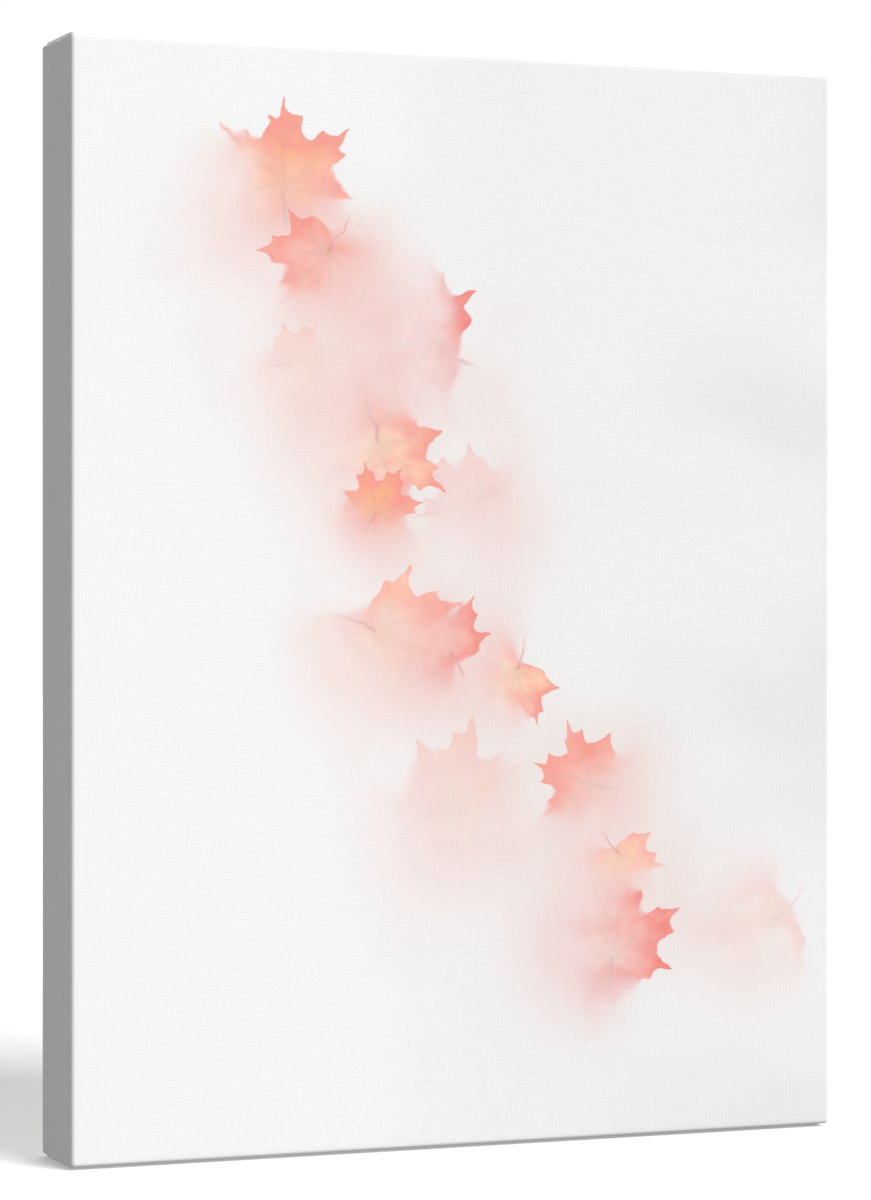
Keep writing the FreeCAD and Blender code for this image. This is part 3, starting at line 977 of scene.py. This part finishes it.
def make_canvas(materials, bands):
    """The one cloth: its outer side, its inner side and its cut edge."""
    points, faces, places, slots = outer_faces(bands)
    outer, inner = cloth_shape(np.array(points))
    count = len(points)
    edge, edge_places = cut_edge(faces, places, count)
    shell = faces + [[c + count for c in reversed(face)] for face in faces] + edge
    shell_places = places + [list(reversed(place)) for place in places] + edge_places
    slots += [BARE] * (len(faces) + len(edge))

    made = new_piece("canvas_cloth", np.concatenate([outer, inner]).tolist(), shell, materials)
    mesh = made.data
    layer = mesh.uv_layers.new(name="cloth")
    layer.data.foreach_set("uv", np.array(shell_places, np.float32).ravel())
    mesh.polygons.foreach_set("material_index", slots)
    mesh.set_sharp_from_angle(angle=math.radians(SHARP_FROM))
    mesh.validate()
    return made


THREADS_UPRIGHT = 46  # loose threads along an upright side
THREADS_LEVEL = 32  # and along a level one
THREAD_RADIUS = 0.11 * MM
THREAD_POINTS = 6
THREAD_SEED = 11
THREAD_SIDES = 5
NO_THREAD_RUNS = (0.31, 0.87, 0.38)  # a way that no thread runs
OFF_WOOD = 0.14 * MM  # how far a thread's middle lies off the wood
INSIDE_CLOTH = 0.5 * MM  # how far inside the cloth a thread starts


def tube(points, radius, sides):
    """Vertices and faces of a closed thin tube along a few points, thinner at its end."""
    points = np.array(points)
    vertices, faces = [], []
    for n, p in enumerate(points):
        run = points[min(n + 1, len(points) - 1)] - points[max(n - 1, 0)]
        run /= np.linalg.norm(run)
        across = np.cross(run, NO_THREAD_RUNS)
        across /= np.linalg.norm(across)
        over = np.cross(run, across)
        taper = 0.5 if n == len(points) - 1 else 1.0
        for k in range(sides):
            a = 2 * math.pi * k / sides
            vertices.append(p + radius * taper * (across * math.cos(a) + over * math.sin(a)))
    for n in range(len(points) - 1):
        for k in range(sides):
            m = (k + 1) % sides
            faces.append([n * sides + k, n * sides + m, (n + 1) * sides + m, (n + 1) * sides + k])
    faces.append(list(reversed(range(sides))))
    end = (len(points) - 1) * sides
    faces.append([end + k for k in range(sides)])
    return vertices, faces


def thread_path(random, upright, sign):
    """One loose thread, out of the cut edge and then along the wood."""
    half_w = WIDTH / 2 - TURN_OVER
    half_h = HEIGHT / 2 - TURN_OVER
    edge, long = (half_w, half_h) if upright else (half_h, half_w)
    along = random.uniform(-long, long)
    length = random.uniform(1.0, 4.5) * MM
    lean = random.normal(0, 0.5)
    curl = random.normal(0, 0.9)
    rise = random.uniform(0, 0.5)
    in_cloth = BACK - CLOTH / 2
    on_wood = BACK - CLOTH + OFF_WOOD
    points = []
    for t in np.linspace(0, 1, THREAD_POINTS):
        out = sign * (edge + INSIDE_CLOTH - length * t)
        sideways = along + length * (lean * t + curl * t * t * 0.5)
        y = in_cloth + (on_wood - in_cloth) * min(1, 3 * t) + 0.4 * rise * length * t * t
        x, z = (out, sideways) if upright else (sideways, out)
        points.append((x, y, z + HEIGHT / 2))
    return points


def make_threads(material):
    """Short ends of warp and weft that stick out of the cloth's cut edge."""
    random = np.random.default_rng(THREAD_SEED)
    vertices, faces = [], []
    for upright in (True, False):
        for sign in (-1, 1):
            for _ in range(THREADS_UPRIGHT if upright else THREADS_LEVEL):
                path = thread_path(random, upright, sign)
                more, more_faces = tube(path, THREAD_RADIUS, THREAD_SIDES)
                faces += [[i + len(vertices) for i in face] for face in more_faces]
                vertices += more
    return new_piece("loose_threads", [tuple(v) for v in vertices], faces, [material])


# ---------------------------------------------------------------------------
# Camera, light and floor
# ---------------------------------------------------------------------------

# The camera stands level with the middle of the canvas, to its left, and looks level.
CAMERA_FROM_FACE = Vector((-0.5413, -1.3094, 0.0033))
CAMERA_LOOKS = Vector((0.37477, 0.92712, 0))
CAMERA_LENS = 114.1
CAMERA_SENSOR = 36.0
CAMERA_SHIFT = -0.0077

KEY_FROM = Vector((0.35, -0.70, 0.62))
KEY_STRENGTH = 3.12
KEY_ANGLE = 40
FILL_FROM = Vector((0.75, 1.5, 0.49))
FILL_STRENGTH = 1.95
FILL_ANGLE = 70
SURROUND = 0.323  # the surround's strength as light; the camera sees it as white
FLOOR_HALF = 6.0


def turn_to(made, way, axis):
    """Turns an object so that its axis points a way."""
    made.rotation_mode = "QUATERNION"
    made.rotation_quaternion = way.to_track_quat(axis, "Y")


def make_camera():
    data = bpy.data.cameras.new("camera")
    data.lens = CAMERA_LENS
    data.sensor_width = CAMERA_SENSOR
    data.shift_y = CAMERA_SHIFT
    made = bpy.data.objects.new("camera", data)
    bpy.context.collection.objects.link(made)
    made.location = FACE_CENTRE + CAMERA_FROM_FACE
    turn_to(made, CAMERA_LOOKS, "-Z")
    bpy.context.scene.camera = made


def make_sun(name, strength, angle, comes_from):
    data = bpy.data.lights.new(name, "SUN")
    data.energy = strength
    data.angle = math.radians(angle)
    made = bpy.data.objects.new(name, data)
    turn_to(made, comes_from, "Z")
    bpy.context.collection.objects.link(made)
    return made


def make_light():
    """A broad sun from the upper right of the front, a soft one behind, and a pale surround."""
    make_sun("key", KEY_STRENGTH, KEY_ANGLE, KEY_FROM)
    fill = make_sun("back_fill", FILL_STRENGTH, FILL_ANGLE, FILL_FROM)
    fill.visible_camera = False

    world = bpy.data.worlds.new("pale_surround")
    world.use_nodes = True
    tree = world.node_tree
    tree.nodes.clear()
    seen = put(tree, "LightPath").outputs["Is Camera Ray"]
    strength = calc(tree, "MULTIPLY_ADD", seen, 1.0 - SURROUND, SURROUND)
    background = put(tree, "Background", [("Color", (1, 1, 1, 1)), ("Strength", strength)])
    put(tree, "OutputWorld", [("Surface", background.outputs[0])])
    bpy.context.scene.world = world


def make_floor(material):
    """The canvas stands on the folds of its lower corners."""
    mesh = bpy.data.meshes.new("floor")
    turns = ((-1, -1), (1, -1), (1, 1), (-1, 1))
    corners = [(x * FLOOR_HALF, y * FLOOR_HALF, -CORNER_FOLD) for x, y in turns]
    mesh.from_pydata(corners, [], [[0, 1, 2, 3]])
    mesh.materials.append(material)
    made = bpy.data.objects.new("floor", mesh)
    made.visible_diffuse = False
    bpy.context.collection.objects.link(made)


# ---------------------------------------------------------------------------
# The scene
# ---------------------------------------------------------------------------

make_camera()
make_light()
make_floor(floor_material())

bands = picture_bands()
prints = [
    printed_cloth(f"printed_cloth_{number}", leaves)
    for number, (_, _, _, _, leaves) in enumerate(bands)
]
canvas = make_canvas([raw_cloth(), printed_cloth("printed_cloth_plain"), *prints], bands)
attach(canvas, "frame")
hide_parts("canvas")

threads = make_threads(thread())
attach(threads, "frame")

# Each bar's grain, and where its tree's middle was in the other two axes.
PINE_LIGHT = rgb(238, 214, 172)
PINE_DARK = rgb(204, 158, 106)
PINE_APART = 0.31
PITHS = {
    "stretcher_bar_top": ("X", (0.055, 0.43)),
    "stretcher_bar_bottom": ("X", (-0.04, -0.05)),
    "stretcher_bar_left": ("Z", (-0.19, 0.05)),
    "stretcher_bar_right": ("Z", (0.16, -0.06)),
}
for number, (bar, (grain, pith)) in enumerate(PITHS.items()):
    dress(bar, wood(f"pine_{bar}", grain, pith, PINE_LIGHT, PINE_DARK, seed=PINE_APART * number))

BEECH_LIGHT = rgb(224, 186, 142)
BEECH_DARK = rgb(186, 136, 96)
BEECH_PITH = (0.02, 0.06)
BEECH_RING = 1.4 * MM
for grain, kind in (("Z", "upright"), ("X", "level")):
    beech = wood(f"beech_{kind}", grain, BEECH_PITH, BEECH_LIGHT, BEECH_DARK, ring=BEECH_RING)
    for key in KEYS:
        if key.endswith(kind):
            dress(key, beech)

zinc = metal("staple_wire", (0.40, 0.40, 0.39), 0.34, 0.55)
for node in STAPLES:
    dress(node, zinc)
nickel = metal("hanger_steel", (0.72, 0.69, 0.64), 0.18, 0.38, (150.0, 900.0, 900.0))
plated = metal("screw_steel", (0.68, 0.67, 0.63), 0.22, 0.42)
pad = rubber()
for side in ("left", "right"):
    dress(f"hanger_strap_{side}", nickel)
    dress(f"hanger_ring_{side}", nickel)
    dress(f"hanger_screw_{side}", plated)
    dress(f"wall_bumper_{side}", pad)

bpy.context.scene.view_settings.view_transform = "Standard"
